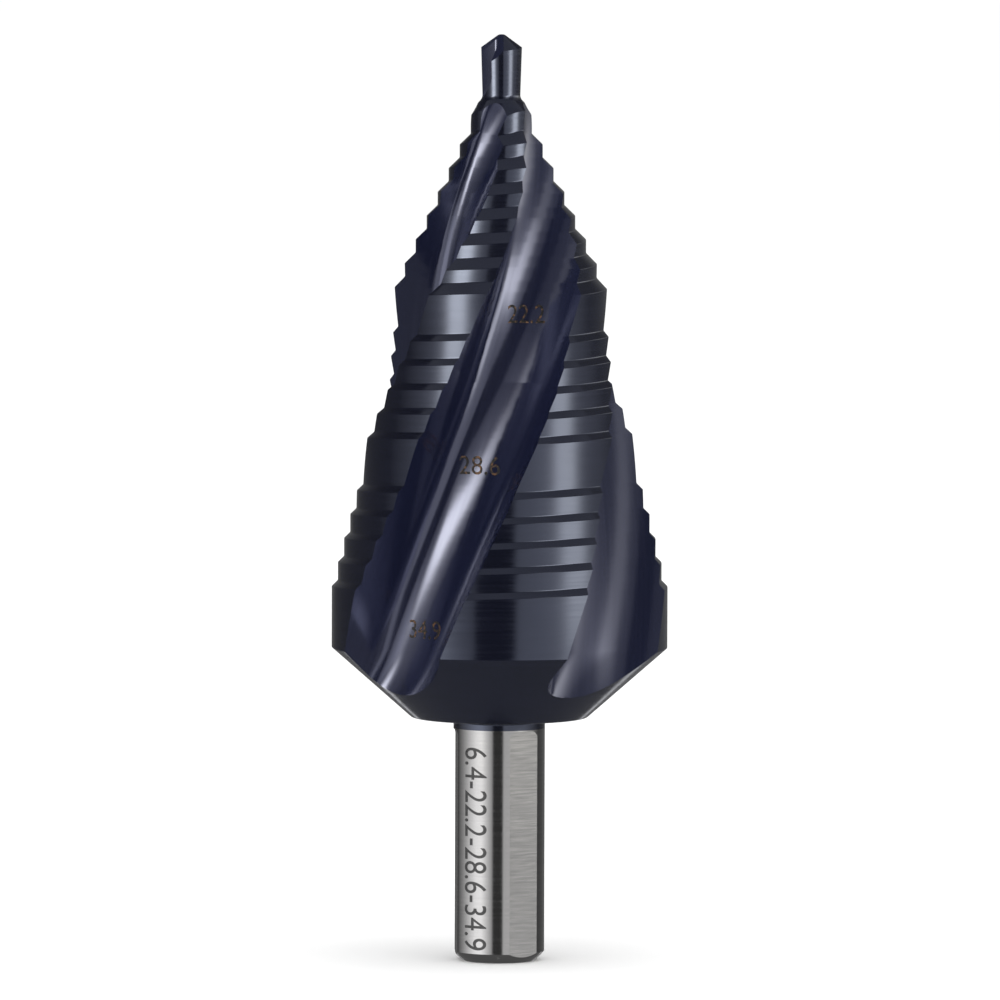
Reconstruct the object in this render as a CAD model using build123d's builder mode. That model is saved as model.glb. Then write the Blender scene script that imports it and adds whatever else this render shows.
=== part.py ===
"""Step drill with a split pilot point, helical flutes and a three-flat shank.

Millimetres. The origin is the centre of the shank's end face and +Z runs up the axis to the
point. The front is -Y, and angles round the axis are counted from the front towards +X.
"""
import os
from math import cos, degrees, log, radians, sin, tan

from build123d import *

# Shank
shank_diameter = 9.525
shank_end_chamfer = 1.0
shank_end_crown = 6.0           # the chamfer is slightly rounded, to this radius
flat_distance = 4.44            # from the axis to each chuck flat
flat_count = 3
first_flat_angle = 35.0
flat_wheel_radius = 3.2         # rounds the top of each flat
flat_top_gap = 1.2              # from the flats' top to the head
neck_fillet = 0.6

# Head, up to the shoulder
head_bottom_z = 25.4
head_bottom_diameter = 18.3
head_bottom_fillet = 0.5
shoulder_z = 32.7

# Steps, from the shoulder up. The marked diameters have long lands.
large_diameter = 34.925
middle_diameter = 28.575
small_diameter = 22.225
first_diameter = 6.35
large_land_length = 6.6
middle_land_pitch = 5.6
small_land_pitch = 4.84
first_land_pitch = 3.25
step_pitch = 2.54
body_step_count = 5             # steps from one marked diameter to the next
tip_step_count = 7              # steps from the small marked diameter to the first

# Pilot
pilot_diameter = 4.26
pilot_base_diameter = 3.96      # at the foot of its back taper
pilot_length = 6.5              # from the first step's top corner to the pilot's corner
pilot_fillet = 0.8
point_angle = 116.0
pilot_flute_count = 2
pilot_edge_angle = -66.0        # a pilot flute's cutting edge
pilot_rake_foot = 1.07          # from the axis to where a pilot flute's corner arc begins
pilot_flute_corner = 0.75
pilot_flute_floor = 1.6
pilot_flute_rise = 1.2          # the length in which a pilot flute runs out at its foot
gash_depth = 2.4                # the split point's notch, down from the apex
gash_web = 0.15                 # from the axis to the notch
gash_angle = 50.0               # the notch opens by this angle from the axis

# Helical flutes: a radial rake face, a tight corner arc, then a wide floor arc to the heel
flute_count = 4
edge_angle = -66.5              # a flute's cutting edge at the shoulder
helix_angle = 19.2              # between a cutting edge and the axis
helix_tip_diameter = 8.7        # the helix climbs a cone from the shoulder to this, at the first step
rake_foot_at_shoulder = 14.3    # from the axis to where the corner arc begins
rake_foot_at_knee = 5.8
rake_foot_at_tip = 3.3
knee_height = 44.7              # above the shoulder, where the flute's depth changes its taper
corner_at_shoulder = 3.5        # radius of the corner arc
corner_at_middle = 3.2
corner_at_tip = 0.8
corner_turn = 59.0              # the corner arc's share of the bend from the rake face
floor_at_shoulder = 9.4         # radius of the floor arc
floor_at_tip = 5.2
floor_turn = 105.0              # the whole bend, from the rake face to the end of the floor arc
low_run_out_radius = 16.0       # the grinding wheel leaves the back cone in this curve
tip_run_out_radius = 10.0       # and the tip in this one
run_out_length = 3.6            # how far the wheel runs past the first step
flute_section_count = 24        # the flute turns about 6 degrees from one to the next

edge_tolerance = 0.01           # for finding a ring by its height

def step_corners():
    """The top corner of every land as (height, radius), from the shoulder up."""
    corners = []
    height = shoulder_z
    for marked, next_marked, count, marked_pitch in (
        (large_diameter, middle_diameter, body_step_count, large_land_length),
        (middle_diameter, small_diameter, body_step_count, middle_land_pitch),
        (small_diameter, first_diameter, tip_step_count, small_land_pitch),
    ):
        for index in range(count):
            height += step_pitch if index else marked_pitch
            diameter = marked - index * (marked - next_marked) / count
            corners.append((height, diameter / 2))
    corners.append((height + first_land_pitch, first_diameter / 2))
    return corners


lands = step_corners()
first_land_z = lands[-1][0]
tip_height = first_land_z - shoulder_z
pilot_base_z = first_land_z + (first_diameter - pilot_base_diameter) / 2
pilot_corner_z = first_land_z + pilot_length
apex_z = pilot_corner_z + pilot_diameter / 2 / tan(radians(point_angle / 2))
wheel_reach = 0.65 * large_diameter


def outline():
    """Half of the drill's section, from the top of the end chamfer over the apex to its foot."""
    points = [
        (shank_diameter / 2, shank_end_chamfer),
        (shank_diameter / 2, head_bottom_z),
        (head_bottom_diameter / 2, head_bottom_z),
        (large_diameter / 2, shoulder_z),
    ]
    for (height, radius), (_, radius_above) in zip(lands, lands[1:]):
        points.append((radius, height))
        points.append((radius_above, height + radius - radius_above))
    points.append((first_diameter / 2, first_land_z))
    points.append((pilot_base_diameter / 2, pilot_base_z))
    points.append((pilot_diameter / 2, pilot_corner_z))
    points.append((0, apex_z))
    points.append((0, 0))
    points.append((shank_diameter / 2 - shank_end_chamfer, 0))
    return points


def from_edge(along, out, angle):
    """A point of a cross-section, from its place beside a cutting edge at this angle.

    along is measured along the direction of turning and out along the edge's own radius.
    """
    turn = radians(angle)
    return (along * cos(turn) + out * sin(turn), along * sin(turn) - out * cos(turn))


def flute_section(height, angle, rake_foot, corner, floor, reach):
    """A flute's cross-section: radial rake face, corner arc, floor arc, then straight out."""

    def on_arc(turn, middle_along, middle_out, radius):
        bend = radians(turn)
        return (middle_along - radius * cos(bend), middle_out - radius * sin(bend))

    bend = radians(corner_turn)
    floor_middle = (corner + (floor - corner) * cos(bend), rake_foot + (floor - corner) * sin(bend))
    corner_end = on_arc(corner_turn, *floor_middle, floor)
    corner_half = on_arc(corner_turn / 2, corner, rake_foot, corner)
    floor_half = on_arc((corner_turn + floor_turn) / 2, *floor_middle, floor)
    floor_end = on_arc(floor_turn, *floor_middle, floor)
    rise = (reach - floor_end[0]) * tan(radians(floor_turn - 90))
    with BuildSketch(Plane.XY.offset(height)) as section:
        with BuildLine():
            rake = Line(from_edge(0, reach, angle), from_edge(0, rake_foot, angle))
            ThreePointArc(rake @ 1, from_edge(*corner_half, angle), from_edge(*corner_end, angle))
            ThreePointArc(
                from_edge(*corner_end, angle),
                from_edge(*floor_half, angle),
                from_edge(*floor_end, angle),
            )
            outwards = Line(
                from_edge(*floor_end, angle), from_edge(reach, floor_end[1] + rise, angle)
            )
            Polyline(outwards @ 1, from_edge(reach, reach, angle), rake @ 0)
        make_face()
    return section.sketch


def edge_angle_at(height):
    """Where a flute's cutting edge stands: it climbs a cone at a constant helix angle."""
    foot_radius = large_diameter / 2
    taper = (foot_radius - helix_tip_diameter / 2) / tip_height
    radius = foot_radius - taper * (height - shoulder_z)
    return edge_angle + degrees(tan(radians(helix_angle)) / taper * log(foot_radius / radius))


def between(height, *stations):
    """A size at a height, from stations of (height above the shoulder, size) joined straight."""
    above = height - shoulder_z
    for (low, size_low), (high, size_high) in zip(stations, stations[1:]):
        if above < high or high == stations[-1][0]:
            return size_low + (size_high - size_low) * (above - low) / (high - low)


def rake_foot_at(height):
    """Where the rake face ends: two tapers, with the wheel's way out at both ends."""
    above = height - shoulder_z
    foot = between(
        height,
        (0, rake_foot_at_shoulder),
        (knee_height, rake_foot_at_knee),
        (tip_height, rake_foot_at_tip),
    )
    below_shoulder = max(-above, 0) ** 2 / (2 * low_run_out_radius)
    return foot + below_shoulder + max(above - tip_height, 0) ** 2 / (2 * tip_run_out_radius)


def corner_at(height):
    """The corner arc's radius, which shrinks slowly to the middle and then fast."""
    middle = (tip_height / 2, corner_at_middle)
    return between(height, (0, corner_at_shoulder), middle, (tip_height, corner_at_tip))


def floor_at(height):
    """The floor arc's radius, which shrinks evenly up the head."""
    return between(height, (0, floor_at_shoulder), (tip_height, floor_at_tip))


def rings_at(part, height):
    """The circular edges at one height, the smallest first."""
    circles = part.edges().filter_by(GeomType.CIRCLE)
    rings = circles.filter_by(lambda edge: abs(edge.center().Z - height) < edge_tolerance)
    return rings.sort_by(SortBy.RADIUS)


def edge_plane(angle, height, distance=0.0):
    """A plane across the radius at this angle: its x follows the turning and its y the axis."""
    out = Vector(sin(radians(angle)), -cos(radians(angle)), 0)
    return Plane(
        origin=out * distance + Vector(0, 0, height),
        x_dir=(cos(radians(angle)), sin(radians(angle)), 0),
        z_dir=out,
    )


# The turned blank: shank, back cone, every step and the pilot
with BuildPart() as step_drill:
    with BuildSketch(Plane.XZ):
        with BuildLine():
            turned = Polyline(*outline())
            RadiusArc(turned @ 1, turned @ 0, -shank_end_crown)
        make_face()
    revolve(axis=Axis.Z)
    fillet(rings_at(step_drill, head_bottom_z)[0], neck_fillet)
    fillet(rings_at(step_drill, head_bottom_z)[-1], head_bottom_fillet)
    fillet(rings_at(step_drill, pilot_base_z)[0], pilot_fillet)

# A helical flute, as the path of a grinding wheel that twists and tapers up the head
flute_low = head_bottom_z + head_bottom_fillet
flute_high = first_land_z + run_out_length
flute_sections = []
for index in range(flute_section_count):
    height = flute_low + index / (flute_section_count - 1) * (flute_high - flute_low)
    laws = (edge_angle_at, rake_foot_at, corner_at, floor_at)
    flute_sections.append(flute_section(height, *(law(height) for law in laws), wheel_reach))
with BuildPart() as flute_cutter:
    loft(flute_sections, ruled=True)

# A straight pilot flute, which runs out at the pilot's foot, and the notch of the split point
pilot_sections = [
    flute_section(
        height, pilot_edge_angle, rake_foot, pilot_flute_corner, pilot_flute_floor, pilot_length
    )
    for height, rake_foot in (
        (pilot_base_z, pilot_rake_foot + pilot_diameter / 2),
        (pilot_base_z + pilot_flute_rise, pilot_rake_foot),
        (apex_z + gash_depth, pilot_rake_foot),
    )
]
with BuildPart() as pilot_cutter:
    loft(pilot_sections, ruled=True)
    with BuildSketch(edge_plane(pilot_edge_angle, apex_z, -gash_web)):
        with BuildLine():
            notch_width = 2 * gash_depth * tan(radians(gash_angle))
            Polyline(
                (gash_web, -gash_depth),
                (gash_web, gash_depth),
                (gash_web + notch_width, gash_depth),
                close=True,
            )
        make_face()
    extrude(amount=pilot_diameter)

# One chuck flat, with the round end that its wheel leaves below the head
flat_top = head_bottom_z - flat_top_gap - flat_wheel_radius
with BuildPart() as flat_cutter:
    with BuildSketch(edge_plane(first_flat_angle, flat_top, flat_distance)):
        Circle(flat_wheel_radius)
        Rectangle(2 * flat_wheel_radius, 2 * flat_top, align=(Align.CENTER, Align.MAX))
    extrude(amount=shank_diameter)

with step_drill:
    with PolarLocations(0, flute_count):
        add(flute_cutter.part, mode=Mode.SUBTRACT)
    with PolarLocations(0, pilot_flute_count):
        add(pilot_cutter.part, mode=Mode.SUBTRACT)
    with PolarLocations(0, flat_count):
        add(flat_cutter.part, mode=Mode.SUBTRACT)

step_drill.part.label = "step_drill"
os.makedirs("parts", exist_ok=True)
export_step(step_drill.part, "parts/step_drill.step")
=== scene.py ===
"""A step drill standing on its shank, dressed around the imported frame.

Lengths are in millimetres while a shape is worked out and in metres once it is a mesh.
Angles round the axis are counted from the front, -Y, towards +X.
"""

import bmesh
import bpy
import numpy as np
from mathutils import Matrix, Vector


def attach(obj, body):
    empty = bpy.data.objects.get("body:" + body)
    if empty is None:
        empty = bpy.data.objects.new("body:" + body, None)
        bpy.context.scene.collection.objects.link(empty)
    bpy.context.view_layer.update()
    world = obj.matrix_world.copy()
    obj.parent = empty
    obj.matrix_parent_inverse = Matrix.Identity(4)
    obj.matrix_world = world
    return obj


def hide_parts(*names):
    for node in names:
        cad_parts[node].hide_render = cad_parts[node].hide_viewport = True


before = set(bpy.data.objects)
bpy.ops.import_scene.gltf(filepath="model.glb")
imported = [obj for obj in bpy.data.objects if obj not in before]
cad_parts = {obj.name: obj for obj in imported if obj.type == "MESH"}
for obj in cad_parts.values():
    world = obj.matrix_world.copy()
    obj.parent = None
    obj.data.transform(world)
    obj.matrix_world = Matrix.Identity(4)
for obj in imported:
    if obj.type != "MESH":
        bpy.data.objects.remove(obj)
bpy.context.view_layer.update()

# The drill: one bar of high speed steel, turned to a stepped cone with a pilot on a round
# shank. Four helical flutes are ground into the cone. They run out in the back cone and under
# the pilot, and behind each cutting edge the steps fall away a little.
MM = 0.001
SHANK_RADIUS = 4.7625
SHANK_CHAMFER = 1.0
CHAMFER_CROWN = 6.0
NECK_FILLET = 0.6
HEAD_BOTTOM_Z = 25.4
COATING_END_Z = 24.3
HEAD_BOTTOM_RADIUS = 9.15
HEAD_BOTTOM_FILLET = 0.5
SHOULDER_Z = 32.7
LARGE_RADIUS = 17.4625
STEP_PITCH = 2.54
# Each marked land: its radius, the drop to each step above it, their number, its own length.
MARKED_LANDS = ((17.4625, 0.635, 5, 6.6), (14.2875, 0.635, 5, 5.6), (11.1125, 1.134, 7, 4.84))
FIRST_LAND = (3.175, 3.25)
PILOT_RADIUS = 2.13
PILOT_BASE_RADIUS = 1.98
PILOT_LENGTH = 6.5
PILOT_FILLET = 0.8
POINT_HALF_ANGLE = 58.0
CHISEL_RADIUS = 0.36
LIP_ANGLE = -97.0
LIP_LEAD = 2.0
LIP_CLEARANCE = 0.0045
LIP_CLEARANCE_DEPTH = 3.0

FLUTE_COUNT = 4
QUARTER = 360 / FLUTE_COUNT
RUN_COLUMNS = (3, 7, 16, 22, 4)
FLUTE_COLUMNS = sum(RUN_COLUMNS)
LAND_COLUMNS = 34
COLUMNS = FLUTE_COLUMNS + LAND_COLUMNS
EVENING_ROWS = 9
RIM_MARGIN = 1.5
# The flutes' sizes by height above the shoulder: where the rake face ends, and the two arcs.
EDGE_ANGLE = -66.5
HELIX_ANGLE = 19.2
HELIX_TIP_RADIUS = 4.35
RAKE_FEET = ((0.0, 14.3), (44.7, 5.8), (55.85, 3.3))
CORNERS = ((0.0, 3.5), (27.925, 3.2), (55.85, 0.8))
CORNER_TURN = 59.0
FLOORS = ((0.0, 9.4), (55.85, 5.2))
LOW_RUN_OUT_RADIUS = 16.0
TIP_RUN_OUT_RADIUS = 10.0
RELIEF = 0.0096
FIRST_RELIEF = 0.0003
EDGE_CHAMFER = 0.035
STEP_FILLET = 0.25
HALVINGS = 50
WELD_DISTANCE = 2e-7


def land_corners():
    """The top corner of each land as rows of (height, radius): pitches added up from the shoulder."""
    corners = []
    height = SHOULDER_Z
    for radius, drop, count, pitch in MARKED_LANDS:
        for index in range(count):
            height += STEP_PITCH if index else pitch
            corners.append((height, radius - index * drop))
    corners.append((height + FIRST_LAND[1], FIRST_LAND[0]))
    return np.array(corners)


def arc(centre, radius, start, end, count):
    """Points of an arc: centre + radius (cos a, sin a), with a running evenly from start to end."""
    angle = np.radians(np.linspace(start, end, count))
    return np.stack([centre[0] + radius * np.cos(angle), centre[1] + radius * np.sin(angle)], 1)


def run(start, end, count):
    """Points of a straight run: start + s (end - start), with s running evenly from 0 to 1."""
    share = np.linspace(0, 1, count)[:, None]
    return np.array(start) + share * (np.array(end) - np.array(start))


LANDS = land_corners()
FIRST_Z = LANDS[-1, 0]
TIP_HEIGHT = FIRST_Z - SHOULDER_Z
PILOT_BASE_Z = FIRST_Z + FIRST_LAND[0] - PILOT_BASE_RADIUS
PILOT_CORNER_Z = FIRST_Z + PILOT_LENGTH
APEX_Z = PILOT_CORNER_Z + PILOT_RADIUS / np.tan(np.radians(POINT_HALF_ANGLE))


def joined(x, stations):
    """A size at x: straight pieces through the stations, the end pieces carried on past the ends."""
    at, size = np.transpose(stations)
    slope = np.diff(size) / np.diff(at)
    piece = np.clip(np.searchsorted(at, x) - 1, 0, len(slope) - 1)
    return size[piece] + slope[piece] * (x - at[piece])


def flute_laws(z):
    """A flute's edge angle, rake foot, corner radius and floor radius at height z.

    The edge climbs a cone at a constant helix angle: angle = start + tan(helix) / taper ln(R0 / R).
    The rake foot rises by x squared / 2 radius where the wheel leaves the cone at both ends.
    """
    up = z - SHOULDER_Z
    taper = (LARGE_RADIUS - HELIX_TIP_RADIUS) / TIP_HEIGHT
    radius = LARGE_RADIUS - taper * up
    angle = EDGE_ANGLE + np.degrees(
        np.tan(np.radians(HELIX_ANGLE)) / taper * np.log(LARGE_RADIUS / radius)
    )
    foot = joined(up, RAKE_FEET) + np.maximum(-up, 0) ** 2 / (2 * LOW_RUN_OUT_RADIUS)
    foot = foot + np.maximum(up - TIP_HEIGHT, 0) ** 2 / (2 * TIP_RUN_OUT_RADIUS)
    return angle, foot, joined(up, CORNERS), joined(up, FLOORS)


def arc_centres(z):
    """The two arcs' centres and radii as (along, out): the floor's lies back along the shared radius."""
    _, foot, corner, floor = flute_laws(z)
    bend = np.radians(CORNER_TURN)
    floor_along = corner + (floor - corner) * np.cos(bend)
    floor_out = foot + (floor - corner) * np.sin(bend)
    return (corner, foot, corner), (floor_along, floor_out, floor)


def arc_meets(along, out, arc_radius, radius):
    """The bends where an arc is this far from the axis: lean -+ acos((d^2 + c^2 - r^2) / 2 d c)."""
    away = np.hypot(along, out)
    cosine = (away**2 + arc_radius**2 - radius**2) / (2 * away * arc_radius)
    lean = np.arctan2(out, along)
    spread = np.arccos(np.clip(cosine, -1, 1))
    return lean - spread, lean + spread


def flute_crossings(z, radius):
    """Where a flute's section meets a circle round the axis, as distances along the section.

    The distance is negative on the rake face, then runs over the corner arc and the floor arc.
    """
    near, wide = arc_centres(z)
    bend = np.radians(CORNER_TURN)
    low_near, high_near = arc_meets(*near, radius)
    low_wide, high_wide = arc_meets(*wide, radius)
    corner_length = near[2] * bend
    start = np.where(low_near <= bend, near[2] * low_near, corner_length + wide[2] * (low_wide - bend))
    start = np.where(radius >= near[1], near[1] - radius, start)
    end = np.where(high_wide >= bend, corner_length + wide[2] * (high_wide - bend), near[2] * high_near)
    return start, np.maximum(end, start)


def flute_point(z, path):
    """(angle past the edge, radius) of the point this far along a flute's section at height z.

    Rake face: (0, out - path). Each arc: its centre - its radius (cos bend, sin bend).
    """
    near, wide = arc_centres(z)
    first_bend = path / near[2]
    turn = np.radians(CORNER_TURN)
    second_bend = turn + (path - near[2] * turn) / wide[2]
    along = np.where(path < 0, 0, near[0] - near[2] * np.cos(first_bend))
    out = np.where(path < 0, near[1] - path, near[1] - near[2] * np.sin(first_bend))
    along = np.where(first_bend > turn, wide[0] - wide[2] * np.cos(second_bend), along)
    out = np.where(first_bend > turn, wide[1] - wide[2] * np.sin(second_bend), out)
    return np.degrees(np.arctan2(along, out)), np.hypot(along, out)


def floor_depth(z):
    """The section's nearest distance to the axis: |centre| - radius of the arc that faces it."""
    near, wide = arc_centres(z)
    bend = np.radians(CORNER_TURN)
    on_wide = np.hypot(wide[0], wide[1]) - wide[2]
    on_near = np.hypot(near[0], near[1]) - near[2]
    return np.where(np.arctan2(wide[1], wide[0]) > bend, on_wide, on_near)


def vanishing(low, high, outline):
    """The height where the flute's floor leaves the blank's outline of (radius, height), by halving."""
    def outside(z):
        return floor_depth(z) > np.interp(z, outline[:, 1], outline[:, 0])

    low_side = outside(low)
    for _ in range(HALVINGS):
        middle = (low + high) / 2
        if outside(middle) == low_side:
            low = middle
        else:
            high = middle
    return (low + high) / 2


def blank_profile():
    """Rows of (radius, height, relief share, first land's share), and the flutes' first and last row."""
    crown = SHANK_RADIUS - SHANK_CHAMFER
    chamfer = run((crown, 0), (SHANK_RADIUS, SHANK_CHAMFER), 9)
    bulge = np.sin(np.linspace(0, np.pi, 9)) * SHANK_CHAMFER**2 / (4 * CHAMFER_CROWN)
    chamfer += bulge[:, None] * np.array([1, -1]) / np.sqrt(2)
    neck_centre = (SHANK_RADIUS + NECK_FILLET, HEAD_BOTTOM_Z - NECK_FILLET)
    slope = np.arctan2(SHOULDER_Z - HEAD_BOTTOM_Z, LARGE_RADIUS - HEAD_BOTTOM_RADIUS)
    fillet_reach = HEAD_BOTTOM_FILLET * np.tan(slope / 2)
    bottom_centre = (HEAD_BOTTOM_RADIUS - fillet_reach, HEAD_BOTTOM_Z + HEAD_BOTTOM_FILLET)
    rim = arc(bottom_centre, HEAD_BOTTOM_FILLET, -90, -90 + np.degrees(slope), 7)
    shoulder = np.array([LARGE_RADIUS, SHOULDER_Z])
    along_cone = shoulder - rim[-1]
    fade_z = vanishing(rim[-1, 1], SHOULDER_Z, np.array([rim[-1], shoulder]))
    fade = rim[-1] + along_cone * (fade_z - rim[-1, 1]) / along_cone[1]
    grow = np.linspace(0, 1, 16)[1:, None] ** 1.5
    cone_end = shoulder - along_cone / np.hypot(*along_cone) * EDGE_CHAMFER
    lower = [
        chamfer,
        run((SHANK_RADIUS, 2), (SHANK_RADIUS, COATING_END_Z), 5),
        arc(neck_centre, NECK_FILLET, 180, 90, 9),
        run((7.0, HEAD_BOTTOM_Z), (bottom_centre[0], HEAD_BOTTOM_Z), 3)[:-1],
        rim,
        run(rim[-1], fade, 4)[1:-1],
    ]
    first_flute_row = sum(map(len, lower))
    cut = [fade[None], fade + grow * (cone_end - fade)]
    reliefs = [np.zeros(first_flute_row), np.zeros(1), np.zeros(len(grow))]
    foot = shoulder + [0, EDGE_CHAMFER]
    share_foot = 0.0
    curved = [np.zeros(first_flute_row + 1 + len(grow))]
    fillet_side = STEP_FILLET * np.tan(np.pi / 8)
    for index, (height, radius) in enumerate(LANDS):
        share = 0.0 if index == len(LANDS) - 1 else 1.0
        top = (radius, height - EDGE_CHAMFER)
        rows = max(3, int(np.ceil((top[1] - foot[1]) / (0.45 + radius / 40))) + 1)
        cut.append(run(foot, top, rows))
        reliefs.append(np.linspace(share_foot, share, rows))
        curved.append(np.linspace(0, 1 - share, rows))
        bevel = EDGE_CHAMFER / np.sqrt(2)
        cut.append(np.array([[radius - bevel, height + bevel]]))
        reliefs.append(np.full(1, share))
        curved.append(np.full(1, 1 - share))
        if index == len(LANDS) - 1:
            break
        radius_above = LANDS[index + 1, 1]
        foot_z = height + radius - radius_above
        centre = (radius_above + STEP_FILLET, foot_z + fillet_side)
        fillet = arc(centre, STEP_FILLET, 225, 180, 6)
        cut.append(fillet)
        reliefs.append(np.full(6, share))
        curved.append(np.zeros(6))
        foot = np.array([radius_above, foot_z + fillet_side + 0.05])
        share_foot = share
    pilot_side = PILOT_FILLET * np.tan(np.pi / 8)
    pilot_centre = (PILOT_BASE_RADIUS + PILOT_FILLET, PILOT_BASE_Z + pilot_side)
    top_fillet = arc(pilot_centre, PILOT_FILLET, 225, 180, 13)
    cone_line = np.array([cut[-1][-1], *top_fillet])
    end_z = vanishing(FIRST_Z + 0.1, top_fillet[-1, 1], cone_line)
    share_up = 1 - np.linspace(1, 0, 12)[1:] ** 2
    rise = cone_line[0, 1] + share_up * (end_z - cone_line[0, 1])
    cut.append(np.stack([np.interp(rise, cone_line[:, 1], cone_line[:, 0]), rise], 1))
    reliefs.append(np.zeros(len(share_up)))
    curved.append(1 - share_up)
    last_flute_row = sum(map(len, lower)) + sum(map(len, cut)) - 1
    remaining = top_fillet[top_fillet[:, 1] > end_z + 0.02]
    upper = [
        remaining,
        run((PILOT_BASE_RADIUS, top_fillet[-1, 1] + 0.1), (PILOT_RADIUS, PILOT_CORNER_Z), 12),
        run((PILOT_RADIUS, PILOT_CORNER_Z), (CHISEL_RADIUS, APEX_Z - 0.06), 8)[1:],
        [[CHISEL_RADIUS * 0.6, APEX_Z - 0.01]],
    ]
    reliefs.append(np.zeros(sum(map(len, upper))))
    curved.append(reliefs[-1])
    points = np.concatenate(lower + cut + upper)
    shares = [np.concatenate(reliefs), np.concatenate(curved)]
    return np.column_stack([points, *shares]), first_flute_row, last_flute_row


def flute_path(z, radius):
    """Distances along the section for each column.

    The columns keep even shares of the rake face, corner and floor inside a smooth cone under
    the lands. Only the columns beyond that cone reach out to the land's own radius.
    """
    start, end = flute_crossings(z, radius)
    taper = (LARGE_RADIUS - HELIX_TIP_RADIUS) / TIP_HEIGHT
    inner_radius = LARGE_RADIUS - RIM_MARGIN - taper * (z - SHOULDER_Z)
    inner_start, inner_end = flute_crossings(z, inner_radius)
    corner_end = arc_centres(z)[0][2] * np.radians(CORNER_TURN)
    breaks = [start, *(np.clip(at, start, end) for at in (inner_start, 0, corner_end, inner_end)), end]
    first_column = np.concatenate([[0], np.cumsum(RUN_COLUMNS)])
    column = np.arange(FLUTE_COLUMNS + 1)[None, :]
    path = breaks[0] + 0.0 * column
    for first, count, low, high in zip(first_column, RUN_COLUMNS, breaks, breaks[1:]):
        path = path + (high - low) * np.clip((column - first) / count, 0, 1)
    return path


def body_grid():
    """The drill's whole surface as rows of (angle, radius, height), four quarters of columns each.

    On a land: height = row height - relief times the degrees behind the cutting edge, and on the
    first land times their square. In a flute: the section's point at the column's share of the
    way from the edge to the heel. Above and below the flutes the columns spread out evenly. At
    the lips: height - clearance times the degrees behind the lip.
    """
    profile, first, last = blank_profile()
    radius, height, relief, curved = profile.T[:, :, None]
    count = len(profile)
    land_share = np.linspace(0, 1, LAND_COLUMNS + 1)[None, 1:-1]
    rate = RELIEF * relief
    bend = FIRST_RELIEF * curved
    edge = flute_laws(height)[0]
    heel_z = height.copy()
    for _ in range(8):
        heel_edge = flute_laws(heel_z)[0]
        _, end = flute_crossings(heel_z, radius)
        past, _ = flute_point(heel_z, end)
        heel = heel_edge + past
        behind = edge + QUARTER - heel
        heel_z = height - rate * behind - bend * behind**2
    flat_path = flute_path(height, radius)
    width = np.maximum(flat_path[:, -1:] - flat_path[:, :1], 1e-9)
    z = height + (heel_z - height) * (flat_path - flat_path[:, :1]) / width
    path = flute_path(z, radius)
    past, flute_radius = flute_point(z, path)
    local_edge = flute_laws(z)[0]
    flute = np.stack([local_edge + past, flute_radius, z], 2)
    next_start = flute[:, :1, 0] + QUARTER
    angle = heel + (next_start - heel) * land_share
    behind = np.maximum(edge + QUARTER - angle, 0)
    land_z = height - rate * behind - bend * behind**2
    land = np.stack([angle, radius + 0 * angle, land_z], 2)
    quarter = np.concatenate([flute, land], 1)
    across = np.concatenate([path, path[:, -1:] + np.radians(angle - heel) * radius], 1)
    even = (np.arange(COLUMNS) - FLUTE_COLUMNS / 2) / COLUMNS * QUARTER
    for row, step, end_row in ((first, -1, -1), (last, 1, count)):
        middle = quarter[row, FLUTE_COLUMNS // 2, 0]
        shut = np.concatenate([np.zeros(FLUTE_COLUMNS + 1), land_share[0] * QUARTER]) + middle
        quarter[row, :, 0] = shut
        quarter[row, :, 1] = radius[row]
        quarter[row, :, 2] = height[row]
        for index in range(row + step, end_row, step):
            blend = min(abs(index - row) / EVENING_ROWS, 1)
            quarter[index, :, 0] = shut * (1 - blend) + (middle + even) * blend
            quarter[index, :, 1] = radius[index]
            quarter[index, :, 2] = height[index]
            across[index] = across[row]
    grid = np.concatenate([quarter + [QUARTER * k, 0, 0] for k in range(FLUTE_COUNT)], 1)
    behind = (LIP_ANGLE + LIP_LEAD - grid[..., 0]) % 180
    clearance_z = PILOT_CORNER_Z - LIP_CLEARANCE_DEPTH
    near_lip = np.clip((grid[..., 2] - clearance_z) / LIP_CLEARANCE_DEPTH, 0, 1)
    near_lip = np.where(height > clearance_z, near_lip * grid[..., 1] / PILOT_RADIUS, 0)
    grid[..., 2] -= LIP_CLEARANCE * behind * near_lip
    flat = np.concatenate([across] * FLUTE_COUNT, 1)
    return grid, flat, first, last


def round_points(grid):
    """(angle, radius, height) to metres: (r sin a, -r cos a, z)."""
    angle = np.radians(grid[..., 0])
    radius = grid[..., 1] * MM
    return np.stack([radius * np.sin(angle), -radius * np.cos(angle), grid[..., 2] * MM], -1)


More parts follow.
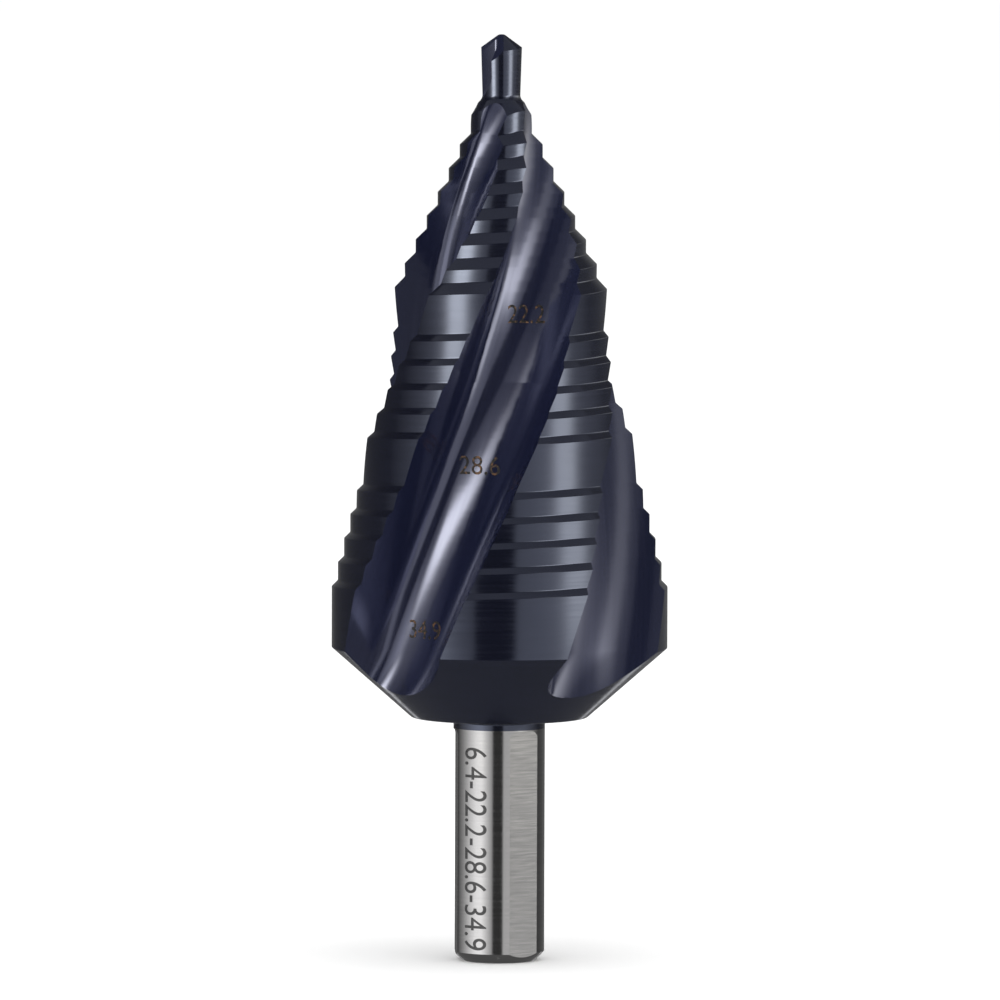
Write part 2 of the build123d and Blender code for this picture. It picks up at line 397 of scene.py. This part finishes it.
def grid_mesh(name, points, uv, low_pole, high_pole, zones):
    """A closed skin over rows of points: quads (s, j), (s, j+1), (s+1, j+1), (s+1, j), and fans."""
    rows, columns, _ = points.shape
    index = np.arange(rows * columns).reshape(rows, columns)
    after = np.roll(index, -1, 1)
    quads = np.stack([index[:-1], after[:-1], after[1:], index[1:]], -1).reshape(-1, 4)
    low, high = rows * columns, rows * columns + 1
    bottom = np.stack([after[0], index[0], np.full(columns, low)], -1)
    top = np.stack([index[-1], after[-1], np.full(columns, high)], -1)
    verts = np.concatenate([points.reshape(-1, 3), [low_pole, high_pole]])
    mesh = bpy.data.meshes.new(name)
    mesh.from_pydata(verts.tolist(), [], quads.tolist() + bottom.tolist() + top.tolist())
    layer = mesh.uv_layers.new(name="along_flute")
    flat = np.concatenate([uv.reshape(-1, 2), uv[0, :1], uv[-1, :1]])
    corners = np.zeros(len(mesh.loops), np.int32)
    mesh.loops.foreach_get("vertex_index", corners)
    layer.data.foreach_set("uv", flat[corners].astype(np.float32).ravel())
    ends = [zones[0, 0]] * columns + [zones[-1, 0]] * columns
    slots = np.concatenate([zones.ravel(), ends]).astype(np.int32)
    mesh.polygons.foreach_set("material_index", slots)
    return mesh


def piece(name, mesh):
    """An object at the origin for this mesh."""
    made = bpy.data.objects.new(name, mesh)
    bpy.context.scene.collection.objects.link(made)
    return made


COATED_LAND, COATED_FLUTE, BARE_SHANK, SHANK_FLAT = range(4)
grid, across, first_row, last_row = body_grid()
rows, columns, _ = grid.shape
column = np.arange(columns)[None, :] % COLUMNS
row = np.arange(rows - 1)[:, None]
in_flute = (row >= first_row) & (row < last_row) & (column < FLUTE_COLUMNS)
coated_row = np.argmax(grid[:, 0, 2] > COATING_END_Z - 0.001)
zones = np.where(row < coated_row, BARE_SHANK, np.where(in_flute, COATED_FLUTE, COATED_LAND))
body_uv = np.stack([across, grid[..., 2]], -1)
body_mesh = grid_mesh("drill", round_points(grid), body_uv, (0, 0, 0), (0, 0, APEX_Z * MM), zones)
weld = bmesh.new()
weld.from_mesh(body_mesh)
bmesh.ops.remove_doubles(weld, verts=weld.verts, dist=WELD_DISTANCE)
bmesh.ops.dissolve_degenerate(weld, edges=weld.edges, dist=WELD_DISTANCE / 2)
weld.to_mesh(body_mesh)
weld.free()
drill = piece("drill", body_mesh)

# The straight cuts: a grinding wheel takes two flutes and the split point's notches out of the
# pilot, and three flats out of the shank, whose top corners it leaves round below the head.
PILOT_WEB = 0.25
PILOT_WEB_RISE = 2.2
PILOT_CORNER = 0.5
PILOT_TILT = 23.0
PILOT_FLUTE_FOOT = 89.4
PILOT_FLUTE_RISE = 2.6
WHEEL_REACH = 5.0
GASH_NORMAL = (-0.61, -0.53, 0.587)
GASH_REACH = 6.0
FLAT_DISTANCE = 4.44
FLAT_COUNT = 3
FIRST_FLAT_ANGLE = 35.0
FLAT_HALF_WIDTH = 1.75
FLAT_TOP_CORNER = 0.8
FLAT_TOP_Z = 24.2
SHARP_ANGLE = 14.0


def from_edge(along, out, height, angle):
    """A point beside a cutting edge at this angle: (t cos a + h sin a, t sin a - h cos a, z), in metres."""
    turn = np.radians(angle)
    return np.stack([
        along * np.cos(turn) + out * np.sin(turn),
        along * np.sin(turn) - out * np.cos(turn),
        height + 0 * along,
    ], -1) * MM


def prism_mesh(name, sections, zone):
    """Closed skin through equal sections: quads between neighbours and a flat face at each end."""
    rows, columns, _ = sections.shape
    index = np.arange(rows * columns).reshape(rows, columns)
    after = np.roll(index, -1, 1)
    quads = np.stack([index[:-1], after[:-1], after[1:], index[1:]], -1).reshape(-1, 4)
    mesh = bpy.data.meshes.new(name)
    faces = quads.tolist() + [index[0, ::-1].tolist(), index[-1].tolist()]
    mesh.from_pydata(sections.reshape(-1, 3).tolist(), [], faces)
    mesh.polygons.foreach_set("material_index", np.full(len(faces), zone, np.int32))
    fix = bmesh.new()
    fix.from_mesh(mesh)
    bmesh.ops.recalc_face_normals(fix, faces=fix.faces)
    fix.to_mesh(mesh)
    fix.free()
    return mesh


def pilot_flute(angle):
    """A straight flute: face, corner arc and tilted floor, further out by (1 - s) squared at its foot."""
    tilt = np.radians(PILOT_TILT)
    rise = np.linspace(0, 1, 14)
    heights = np.concatenate([PILOT_FLUTE_FOOT + PILOT_FLUTE_RISE * rise, [APEX_Z + 1.0]])
    webs = np.concatenate([PILOT_WEB + PILOT_WEB_RISE * (1 - rise) ** 2, [PILOT_WEB]])[:, None]
    bend = np.linspace(np.pi, 1.5 * np.pi + tilt, 16)[None, :]
    along = PILOT_CORNER * (1 + np.cos(bend)) + 0 * webs
    out = webs + PILOT_CORNER * (1 + np.sin(bend))
    far = np.full_like(webs, WHEEL_REACH)
    floor_end = out[:, -1:] + (far - along[:, -1:]) * np.tan(tilt)
    along = np.concatenate([0 * far, along, far, far], 1)
    out = np.concatenate([far + 3, out, floor_end, far + 3], 1)
    sections = from_edge(along, out, heights[:, None], angle)
    return prism_mesh("pilot_flute", sections, COATED_FLUTE)


def notch(turned):
    """The split point's notch: a wedge between the lip's face and the gash plane through the apex."""
    face = np.array([np.cos(np.radians(LIP_ANGLE)), np.sin(np.radians(LIP_ANGLE)), 0])
    plane = np.array(GASH_NORMAL) / np.linalg.norm(GASH_NORMAL)
    line = np.cross(plane, face)
    line = line / np.linalg.norm(line) * GASH_REACH
    down_plane = (face - plane * np.dot(face, plane)) * GASH_REACH
    up_face = (plane - face * np.dot(face, plane)) * GASH_REACH
    apex = np.array([0, 0, APEX_Z])
    section = np.stack([apex, apex + down_plane, apex + up_face])
    sections = np.stack([section - line, section + line]) * MM
    flip = np.array([-1, -1, 1]) if turned else np.array([1, 1, 1])
    return prism_mesh("notch", sections * flip, COATED_FLUTE)


def chuck_flat(angle):
    """A flat's wheel: a slab with rounded top corners, from the flat outwards."""
    turn = np.radians(np.linspace(0, 90, 13))
    side = FLAT_HALF_WIDTH - FLAT_TOP_CORNER + FLAT_TOP_CORNER * np.cos(turn)
    level = FLAT_TOP_Z - FLAT_TOP_CORNER + FLAT_TOP_CORNER * np.sin(turn)
    along = np.concatenate([side, -side[::-1], [-FLAT_HALF_WIDTH, FLAT_HALF_WIDTH]])
    height = np.concatenate([level, level[::-1], [-2.0, -2.0]])
    ends = [from_edge(along, np.full(len(along), out), height, angle) for out in (FLAT_DISTANCE, 6.0)]
    return prism_mesh("chuck_flat", np.stack(ends), SHANK_FLAT)


def cut(target, mesh, materials):
    """Takes the mesh's solid out of the target for good."""
    for material in materials:
        mesh.materials.append(material)
    tool = piece(mesh.name, mesh)
    step = target.modifiers.new("cut", "BOOLEAN")
    step.operation = "DIFFERENCE"
    step.solver = "EXACT"
    step.object = tool
    graph = bpy.context.evaluated_depsgraph_get()
    result = bpy.data.meshes.new_from_object(
        target.evaluated_get(graph), preserve_all_data_layers=True, depsgraph=graph
    )
    target.modifiers.clear()
    old = target.data
    target.data = result
    bpy.data.meshes.remove(old)
    bpy.data.objects.remove(tool)
    bpy.data.meshes.remove(mesh)


FINISH_NAMES = ("coated_lands", "coated_flutes", "bare_shank", "shank_flats")
finishes = [bpy.data.materials.new(name) for name in FINISH_NAMES]
for finish in finishes:
    drill.data.materials.append(finish)
for k in range(FLAT_COUNT):
    cut(drill, chuck_flat(FIRST_FLAT_ANGLE + 360 / FLAT_COUNT * k), finishes)
for k in range(2):
    cut(drill, pilot_flute(LIP_ANGLE + 180 * k), finishes)
for turned in (False, True):
    cut(drill, notch(turned), finishes)
drill.data.name = "drill"
drill.data.shade_smooth()
drill.data.set_sharp_from_angle(angle=np.radians(SHARP_ANGLE))
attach(drill, "root")
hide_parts("step_drill")

# The finishes: a thin blue-black coating lies over the ground steel of the head, thinnest and
# bluest in the polished flutes. It ends below the head, and the shank is bare steel, turned
# round and ground across its flats. Everywhere the wheel leaves fine lines.
GRAIN_DEPTH = 0.00002
ROUGH_DRIFT = 0.04


def new_material(material):
    """The material's tree emptied down to one Principled BSDF and its output."""
    material.use_nodes = True
    tree = material.node_tree
    tree.nodes.clear()
    shader = tree.nodes.new("ShaderNodeBsdfPrincipled")
    output = tree.nodes.new("ShaderNodeOutputMaterial")
    tree.links.new(shader.outputs["BSDF"], output.inputs["Surface"])
    return tree, shader


def node(tree, kind, inputs=(), **settings):
    """A node with its settings made and its inputs set or linked."""
    made = tree.nodes.new(kind)
    for name, value in settings.items():
        setattr(made, name, value)
    for name, value in dict(inputs).items():
        if isinstance(value, bpy.types.NodeSocket):
            tree.links.new(value, made.inputs[name])
        else:
            made.inputs[name].default_value = value
    return made


def grain_group():
    """Fine grinding lines: noise squeezed hard along one axis, as a height, and a tone with slow drift."""
    group = bpy.data.node_groups.new("grinding_lines", "ShaderNodeTree")
    group.interface.new_socket("Vector", in_out="INPUT", socket_type="NodeSocketVector")
    group.interface.new_socket("Stretch", in_out="INPUT", socket_type="NodeSocketVector")
    group.interface.new_socket("Lines", in_out="OUTPUT", socket_type="NodeSocketFloat")
    group.interface.new_socket("Tone", in_out="OUTPUT", socket_type="NodeSocketFloat")
    entry = group.nodes.new("NodeGroupInput")
    leave = group.nodes.new("NodeGroupOutput")
    squeezed = node(group, "ShaderNodeVectorMath", operation="MULTIPLY")
    group.links.new(entry.outputs["Vector"], squeezed.inputs[0])
    group.links.new(entry.outputs["Stretch"], squeezed.inputs[1])
    lines = node(group, "ShaderNodeTexNoise", {"Vector": squeezed.outputs[0], "Scale": 1.0, "Detail": 3.0})
    drift = node(group, "ShaderNodeTexNoise", {"Scale": 60.0, "Detail": 2.0})
    group.links.new(entry.outputs["Vector"], drift.inputs["Vector"])
    group.links.new(lines.outputs["Fac"], leave.inputs["Lines"])
    tone = node(group, "ShaderNodeMix", {"Factor": 0.7}, data_type="FLOAT")
    group.links.new(drift.outputs["Fac"], tone.inputs["A"])
    group.links.new(lines.outputs["Fac"], tone.inputs["B"])
    group.links.new(tone.outputs["Result"], leave.inputs["Tone"])
    return group


grinding_lines = grain_group()


def ground_finish(material, dark, light, rough, stretch, lines, metallic, index, coordinates="Object"):
    """A ground surface: its tone goes from dark to light and its lines tilt the reflection."""
    tree, shader = new_material(material)
    place = node(tree, "ShaderNodeTexCoord")
    grain = node(tree, "ShaderNodeGroup", node_tree=grinding_lines)
    tree.links.new(place.outputs[coordinates], grain.inputs["Vector"])
    grain.inputs["Stretch"].default_value = stretch
    noise_range = {"From Min": 0.3, "From Max": 0.7}
    tone = node(tree, "ShaderNodeMapRange", {"Value": grain.outputs["Tone"], **noise_range})
    ramp = node(tree, "ShaderNodeMix", {"Factor": tone.outputs["Result"]}, data_type="RGBA")
    ramp.inputs["A"].default_value = (*dark, 1)
    ramp.inputs["B"].default_value = (*light, 1)
    worn = node(tree, "ShaderNodeMapRange", {"Value": grain.outputs["Lines"], **noise_range})
    worn.inputs["To Min"].default_value = rough - ROUGH_DRIFT
    worn.inputs["To Max"].default_value = rough + ROUGH_DRIFT
    bump = node(tree, "ShaderNodeBump", {"Height": grain.outputs["Lines"], "Strength": lines})
    bump.inputs["Distance"].default_value = GRAIN_DEPTH
    tree.links.new(ramp.outputs["Result"], shader.inputs["Base Color"])
    tree.links.new(worn.outputs["Result"], shader.inputs["Roughness"])
    tree.links.new(bump.outputs["Normal"], shader.inputs["Normal"])
    shader.inputs["Metallic"].default_value = metallic
    shader.inputs["IOR"].default_value = index
    return tree, shader


LAND_TINT = (0.68, 0.75, 1.0, 1)
FLUTE_TINT = (0.72, 0.75, 1.0, 1)
_, land_shader = ground_finish(
    finishes[COATED_LAND], dark=(0.0025, 0.003, 0.008), light=(0.0045, 0.005, 0.013),
    rough=0.14, stretch=(150, 150, 4500), lines=0.06, metallic=0.0, index=1.90,
)
land_shader.inputs["Specular Tint"].default_value = LAND_TINT
_, flute_shader = ground_finish(
    finishes[COATED_FLUTE], dark=(0.008, 0.010, 0.026), light=(0.011, 0.013, 0.033),
    rough=0.13, stretch=(3.0, 0.05, 0), lines=0.015, metallic=0.0, index=2.0, coordinates="UV",
)
flute_shader.inputs["Specular Tint"].default_value = FLUTE_TINT
ground_finish(
    finishes[BARE_SHANK], dark=(0.37, 0.365, 0.365), light=(0.43, 0.425, 0.425),
    rough=0.13, stretch=(120, 120, 6000), lines=0.06, metallic=1.0, index=1.5,
)
ground_finish(
    finishes[SHANK_FLAT], dark=(0.30, 0.295, 0.295), light=(0.43, 0.425, 0.425),
    rough=0.22, stretch=(350, 350, 5500), lines=0.07, metallic=1.0, index=1.5,
)

# The marks: the drill's sizes in millimetres, no deeper than its skin. A row of them is etched
# grey down the bare shank. The long lands' sizes are burnt into one flute with a laser, black
# with brown edges, and are pressed straight back onto the flute from the front.
SHANK_WORDS = "6.4-22.2-28.6-34.9"
SHANK_WORDS_TOP = 22.5
SHANK_WORDS_LENGTH = 21.1
SHANK_WORDS_HEIGHT = 2.66
SHANK_WORDS_ANGLE = -47.5
# Each burnt mark: its digits, the middle's x and height, and its length.
BURNT_WORDS = (("22.2", 2.65, 67.65, 3.8), ("28.6", -2.1, 52.1, 4.2), ("34.9", -7.7, 35.05, 3.2))
BURNT_HEIGHT = 1.9
BURNT_START_Y = -20.0
MARK_LIFT = 0.012


def mesh_spots(mesh):
    """The mesh's points as rows of x, y, z."""
    spots = np.zeros(len(mesh.vertices) * 3, np.float32)
    mesh.vertices.foreach_get("co", spots)
    return spots.reshape(-1, 3)


def lettering(name, words, length, height, slices):
    """Plain digits as a flat mesh of this length and height, sliced both ways so that it can bend."""
    curve = bpy.data.curves.new(name, "FONT")
    curve.body = words
    source = piece(name, curve)
    graph = bpy.context.evaluated_depsgraph_get()
    mesh = bpy.data.meshes.new_from_object(source.evaluated_get(graph))
    bpy.data.objects.remove(source)
    bpy.data.curves.remove(curve)
    spots = mesh_spots(mesh)
    low = spots.min(0)
    span = np.maximum(spots.max(0) - low, 1e-6)
    spots = (spots - low) / span * np.array([length, height, 0])
    mesh.vertices.foreach_set("co", spots.astype(np.float32).ravel())
    sliced = bmesh.new()
    sliced.from_mesh(mesh)
    for axis, extent, count in ((0, length, slices[0]), (1, height, slices[1])):
        for share in range(1, count):
            place = [0.0, 0.0, 0.0]
            place[axis] = extent * share / count
            facing = [0.0, 0.0, 0.0]
            facing[axis] = 1.0
            parts = sliced.verts[:] + sliced.edges[:] + sliced.faces[:]
            bmesh.ops.bisect_plane(sliced, geom=parts, plane_co=place, plane_no=facing)
    bmesh.ops.triangulate(sliced, faces=sliced.faces)
    sliced.to_mesh(mesh)
    sliced.free()
    mesh.name = name
    return mesh


etched = bpy.data.materials.new("etched_digits")
ground_finish(
    etched, dark=(0.050, 0.050, 0.052), light=(0.080, 0.080, 0.082),
    rough=0.45, stretch=(120, 120, 6000), lines=0.06, metallic=0.5, index=1.5,
)
shank_words = lettering("shank_digits", SHANK_WORDS, SHANK_WORDS_LENGTH, SHANK_WORDS_HEIGHT, (1, 14))
flat_words = mesh_spots(shank_words)
turn = np.radians(SHANK_WORDS_ANGLE) + flat_words[:, 1] / SHANK_RADIUS
skin = SHANK_RADIUS + MARK_LIFT
wound = np.stack([skin * np.sin(turn), -skin * np.cos(turn), SHANK_WORDS_TOP - flat_words[:, 0]], 1) * MM
shank_words.vertices.foreach_set("co", wound.astype(np.float32).ravel())
shank_words.materials.append(etched)
shank_digits = piece("shank_digits", shank_words)
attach(shank_digits, "root")

burnt = bpy.data.materials.new("burnt_digits")
burnt_tree, burnt_shader = new_material(burnt)
burnt_place = node(burnt_tree, "ShaderNodeTexCoord")
blotch = node(burnt_tree, "ShaderNodeTexNoise", {"Vector": burnt_place.outputs["Object"]})
blotch.inputs["Scale"].default_value = 3500.0
char = node(burnt_tree, "ShaderNodeMix", data_type="RGBA")
char.inputs["A"].default_value = (0.006, 0.005, 0.005, 1)
char.inputs["B"].default_value = (0.16, 0.075, 0.03, 1)
burnt_share = node(burnt_tree, "ShaderNodeMapRange", {"Value": blotch.outputs["Fac"]})
burnt_share.inputs["From Min"].default_value = 0.5
burnt_share.inputs["From Max"].default_value = 0.68
burnt_tree.links.new(burnt_share.outputs["Result"], char.inputs["Factor"])
burnt_tree.links.new(char.outputs["Result"], burnt_shader.inputs["Base Color"])
burnt_shader.inputs["Roughness"].default_value = 0.6
for words, middle, level, length in BURNT_WORDS:
    name = "burnt_" + words
    mark_mesh = lettering(name, words, length, BURNT_HEIGHT, (16, 8))
    flat_words = mesh_spots(mark_mesh)
    across_x = middle - length / 2 + flat_words[:, 0]
    up_z = level - BURNT_HEIGHT / 2 + flat_words[:, 1]
    front = np.stack([across_x, np.full_like(up_z, BURNT_START_Y), up_z], 1) * MM
    mark_mesh.vertices.foreach_set("co", front.astype(np.float32).ravel())
    mark = piece(name, mark_mesh)
    press = mark.modifiers.new("press", "SHRINKWRAP")
    press.target = drill
    press.wrap_method = "PROJECT"
    press.use_project_x = False
    press.use_project_y = True
    press.use_project_z = False
    press.use_positive_direction = True
    press.use_negative_direction = False
    press.wrap_mode = "ABOVE_SURFACE"
    press.offset = MARK_LIFT * MM
    graph = bpy.context.evaluated_depsgraph_get()
    pressed = bpy.data.meshes.new_from_object(mark.evaluated_get(graph))
    mark.modifiers.clear()
    mark.data = pressed
    bpy.data.meshes.remove(mark_mesh)
    pressed.name = name
    pressed.materials.append(burnt)
    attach(mark, "root")

# The floor: a plain matt white sheet, wide enough to fill every view. It keeps the drill's
# soft shadow, and the steel doesn't mirror it: in its place the steel sees the tent's dim
# glowing disc, a painted reflection of the shaded floor.
FLOOR_HALF = 20.0
floor_mesh = bpy.data.meshes.new("floor")
floor_corners = [(x * FLOOR_HALF, y * FLOOR_HALF, 0) for x, y in ((-1, -1), (1, -1), (1, 1), (-1, 1))]
floor_mesh.from_pydata(floor_corners, [], [(0, 1, 2, 3)])
floor = piece("floor", floor_mesh)
floor_white = bpy.data.materials.new("white_floor")
floor_mesh.materials.append(floor_white)
_, floor_shader = new_material(floor_white)
floor_shader.inputs["Base Color"].default_value = (1, 1, 1, 1)
floor_shader.inputs["Roughness"].default_value = 1.0
floor_shader.inputs["Specular IOR Level"].default_value = 0.0
floor.visible_glossy = False

# The light tent: softboxes stand in a ring round the drill, seen only as reflections in its
# steel. Their light fades at their edges, and the places between them are dark cloth that
# glows faintly with painted bounce light. Through a gap low in the ring the bare shank sees a
# wider ring of light behind it. Below the gap a skirt and a disc glow dimly, a painted
# reflection of the shaded floor.
TENT_RADIUS = 0.30
TENT_TOP = 0.42
DARK = 0.03
# Each box: rows of (height in metres, light). The bounce and the low band: (azimuth, light).
LEFT_BOX = (
    (0.0, 1.7), (0.010, 0.9), (0.025, 1.1), (0.038, 2.8), (0.053, 5.1), (0.070, 7.8), (0.109, 7.9),
    (0.125, 6.8), (0.138, 5.2), (0.171, 2.6), (0.187, 1.5), (0.203, 1.0), (0.240, 0.4), (0.420, 0.1),
)
RIGHT_BOX = (
    (0.0, 0.5), (0.015, 3.0), (0.022, 3.5), (0.032, 3.2), (0.045, 2.9), (0.060, 3.3), (0.072, 4.8),
    (0.111, 5.2), (0.142, 3.9), (0.170, 2.5), (0.206, 1.3), (0.240, 0.8), (0.420, 0.2),
)
SIDE_BOX = ((-0.08, 0.0), (0.080, 0.0), (0.105, 2.3), (0.150, 1.2), (0.200, 0.3), (0.420, 0.1))
BOUNCE = (
    (-180, 0.15), (-165, 0.12), (-150, 0.06), (-132, 0.05), (-104, 0.05), (-82, 0.30), (-66, 0.50),
    (-30, 0.50), (-18, 0.35), (-15, 0.0), (9, 0.0), (13, 0.60), (33, 0.75), (54, 0.60), (75, 0.45),
    (90, 0.35), (108, 0.12), (120, 0.12), (180, 0.15),
)
LOW_BAND = (
    (-180, 0.18), (-150, 0.05), (-125, 0.06), (-105, 0.42), (-90, 0.8), (-60, 1.8), (-45, 1.9),
    (-30, 1.15), (-18, 0.62), (-14, 0.03), (8, 0.03), (12, 0.86), (40, 0.80), (70, 0.80), (95, 0.34),
    (115, 0.06), (180, 0.18),
)
# The dim glow below the gap: a painted reflection of the shaded floor, which the steel sees in place of the
# white floor.
PAINTED_FLOOR_GLOW = 0.15
TENT_BOTTOM = -0.13
GAP = (-0.115, 0.006)
BAND_RADIUS = 0.60
BAND_REACH = (-0.190, -0.008)
BAND_FADE = 0.006
LID_LIGHT = 0.28
WARM_LOSS = (0.0, 0.02, 0.13)


def soft_edge(azimuth, centre, half_width):
    """A softbox across its width: 1 / (1 + (offset / half width)^4)."""
    return 1 / (1 + ((azimuth - centre) / half_width) ** 4)


def tent_light(azimuth, height):
    """The tent's light as red, green, blue at an azimuth in degrees and a height in metres.

    Dark cloth + bounce + each box's height table times its soft edge round its centre, which
    leans with height. The boxes lose a little blue, as warm lamps do.
    """
    left_lean = -47 - 7 * np.clip((height - 0.09) / 0.05, 0, 1)
    left_half = 11 - 2.5 * np.clip((height - 0.08) / 0.03, 0, 1)
    left = np.interp(height, *np.transpose(LEFT_BOX)) * soft_edge(azimuth, left_lean, left_half)
    lean = 55 - 18 * np.clip((height - 0.078) / 0.04, 0, 1)
    right = np.interp(height, *np.transpose(RIGHT_BOX)) * soft_edge(azimuth, lean, 10.5)
    side = np.interp(height, *np.transpose(SIDE_BOX)) * soft_edge(azimuth, 104, 22)
    fade = np.clip((0.26 - height) / 0.12, 0.3, 1)
    above = DARK + left + right + side + fade * np.interp(azimuth, *np.transpose(BOUNCE))
    from_under = np.clip((height + 0.02) / 0.01, 0, 1)
    total = PAINTED_FLOOR_GLOW * (1 - from_under) + above * from_under
    boxes = (left + right + side) * from_under
    return total[..., None] - boxes[..., None] * np.array(WARM_LOSS)


def band_light(azimuth, height):
    """The low band's light, which the shank sees past the tent's lower gap, and beside it the dim glow of
    the painted floor reflection.
    """
    above_foot = np.clip((height - BAND_REACH[0]) / BAND_FADE, 0, 1)
    inside = above_foot * np.clip((BAND_REACH[1] - height) / BAND_FADE, 0, 1)
    glow = PAINTED_FLOOR_GLOW * (1 - inside) + (DARK + np.interp(azimuth, *np.transpose(LOW_BAND))) * inside
    return glow[..., None] * np.ones(3)


def ring(radius, low, high, count):
    """A round wall as rows of points, with each point's azimuth and height: (r sin a, -r cos a, h)."""
    turn, level = np.meshgrid(np.linspace(-180, 180, 361), np.linspace(low, high, count))
    spots = [radius * np.sin(np.radians(turn)), -radius * np.cos(np.radians(turn)), level]
    return np.stack(spots, -1), turn, level


def sheet_mesh(name, points, light):
    """An open skin over rows of points, with the light as an attribute at each point."""
    rows, columns, _ = points.shape
    index = np.arange(rows * columns).reshape(rows, columns)
    quads = np.stack([index[:-1, :-1], index[:-1, 1:], index[1:, 1:], index[1:, :-1]], -1).reshape(-1, 4)
    mesh = bpy.data.meshes.new(name)
    mesh.from_pydata(points.reshape(-1, 3).tolist(), [], quads.tolist())
    layer = mesh.attributes.new("card_light", "FLOAT_VECTOR", "POINT")
    layer.data.foreach_set("vector", light.reshape(-1, 3).astype(np.float32).ravel())
    return mesh


upper_wall, turn, level = ring(TENT_RADIUS, GAP[1], TENT_TOP, 208)
upper_light = tent_light(turn, level)
lower_wall, turn, level = ring(TENT_RADIUS, TENT_BOTTOM, GAP[0], 6)
lower_light = np.full(lower_wall.shape, PAINTED_FLOOR_GLOW)
band_wall, turn, level = ring(BAND_RADIUS, -0.2, 0.1, 151)
low_light = band_light(turn, level)
reach = np.linspace(0.002, TENT_RADIUS, 4)[:, None, None]
disc = upper_wall[:1] / TENT_RADIUS * [1, 1, 0] * reach
card_glow = bpy.data.materials.new("card_glow")
card_glow.use_nodes = True
card_tree = card_glow.node_tree
card_tree.nodes.clear()
strength = node(card_tree, "ShaderNodeAttribute", attribute_name="card_light")
glow = node(card_tree, "ShaderNodeEmission", {"Color": strength.outputs["Vector"], "Strength": 1.0})
node(card_tree, "ShaderNodeOutputMaterial", {"Surface": glow.outputs["Emission"]})
for name, points, light in (
    ("tent_wall", upper_wall, upper_light),
    ("floor_reflection_skirt", lower_wall, lower_light),
    ("tent_band", band_wall, low_light),
    # The skirt and the disc below glow with the painted reflection of the shaded floor.
    ("floor_reflection_disc", disc + [0, 0, TENT_BOTTOM], np.full(disc.shape, PAINTED_FLOOR_GLOW)),
    ("tent_lid", disc + [0, 0, TENT_TOP], np.full(disc.shape, LID_LIGHT)),
):
    card = piece(name, sheet_mesh(name, points, light))
    card.data.materials.append(card_glow)
    card.visible_camera = False
    card.visible_diffuse = False
    card.visible_shadow = False
    card.visible_transmission = False

# The studio: an even white world all round, and one broad lamp overhead, whose soft shadow
# sets the drill's foot on the floor.
LAMP_SIZE = 1.5
LAMP_POWER = 7.0
LAMP_PLACE = (0.15, -0.45, 1.4)
world = bpy.data.worlds.new("studio")
bpy.context.scene.world = world
world.use_nodes = True
world.node_tree.nodes["Background"].inputs["Color"].default_value = (1, 1, 1, 1)
world.node_tree.nodes["Background"].inputs["Strength"].default_value = 1.0
lamp = bpy.data.lights.new("overhead", "AREA")
lamp.size = LAMP_SIZE
lamp.energy = LAMP_POWER
overhead = bpy.data.objects.new("overhead", lamp)
overhead.location = LAMP_PLACE
overhead.rotation_euler = (-Vector(LAMP_PLACE)).to_track_quat("-Z", "Y").to_euler()
overhead.visible_glossy = False
bpy.context.scene.collection.objects.link(overhead)

# The camera: a long lens a little above the drill's middle, as for a product picture, and
# turned a fifth of a degree, as the photograph is.
CAMERA_PLACE = Vector((0, -1.170, 0.130))
CAMERA_AIM = Vector((0, 0, 0.048))
CAMERA_ROLL = 0.20
LENS = 406.3
lens = bpy.data.cameras.new("camera")
lens.sensor_width = 36.0
lens.lens = LENS
lens.clip_start = 0.05
lens.clip_end = 50.0
camera = bpy.data.objects.new("camera", lens)
bpy.context.scene.collection.objects.link(camera)
look = (CAMERA_AIM - CAMERA_PLACE).to_track_quat("-Z", "Y").to_matrix().to_4x4()
roll = Matrix.Rotation(np.radians(CAMERA_ROLL), 4, "Z")
camera.matrix_world = Matrix.Translation(CAMERA_PLACE) @ look @ roll
bpy.context.scene.camera = camera
bpy.context.scene.view_settings.view_transform = "Standard"
